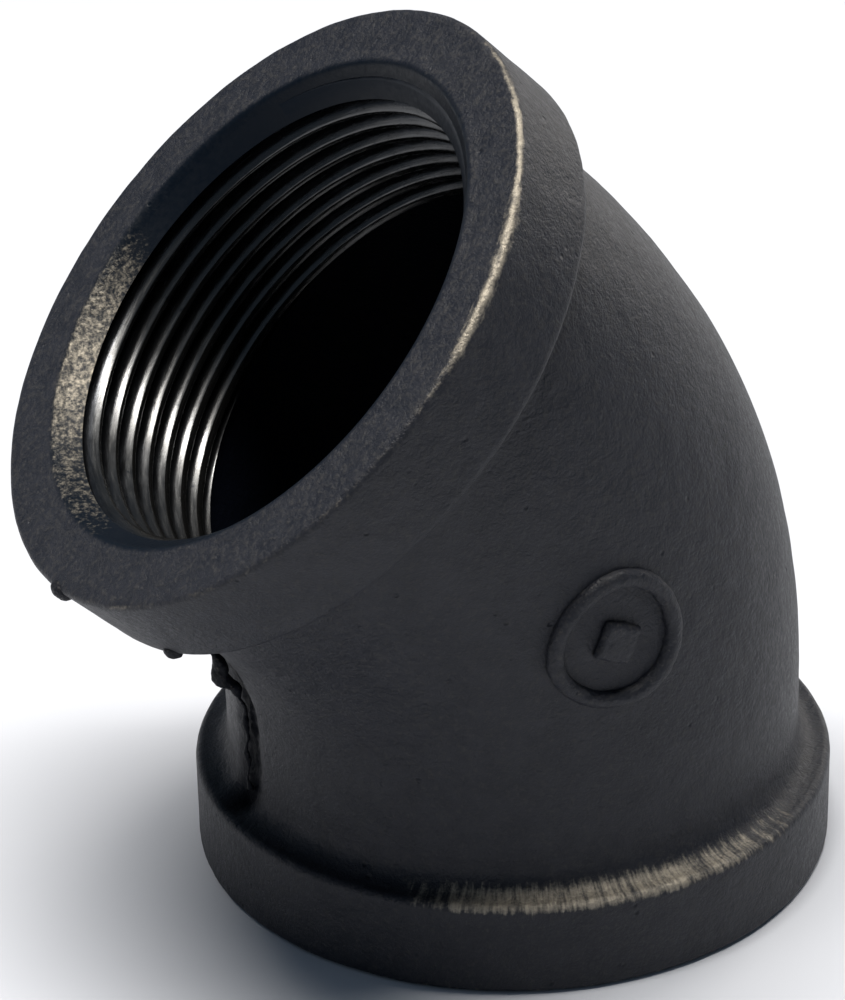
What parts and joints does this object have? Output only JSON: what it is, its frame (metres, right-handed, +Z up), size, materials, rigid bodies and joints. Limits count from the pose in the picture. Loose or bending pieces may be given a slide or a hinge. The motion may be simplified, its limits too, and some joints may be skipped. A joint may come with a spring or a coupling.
{
  "type": "pipe elbow",
  "caption": "Banded 45 degree female pipe elbow in black malleable iron, with an internal taper pipe thread in each mouth, for joining screwed steel pipe at an angle.",
  "frame": {"origin": "centre of the lower mouth's face, on the lower pipe axis", "axes": "+Z up the lower pipe axis into the elbow; the upper pipe axis leans towards -X in the XZ plane; the raised mark is on the -Y side"},
  "size_m": [0.0775, 0.0616, 0.0821],
  "materials": {
    "cast_skin": "black annealed casting skin, fine sand grain, satin",
    "cut_thread": "tapped iron, oiled, bright on the thread crests"
  },
  "bodies": {
    "root": {"bend": "cast_skin", "lower_socket": "cast_skin", "upper_socket": "cast_skin", "lower_thread": "cut_thread", "upper_thread": "cut_thread", "raised_mark": "cast_skin", "parting_flash": "cast_skin"}
  },
  "joints": []
}
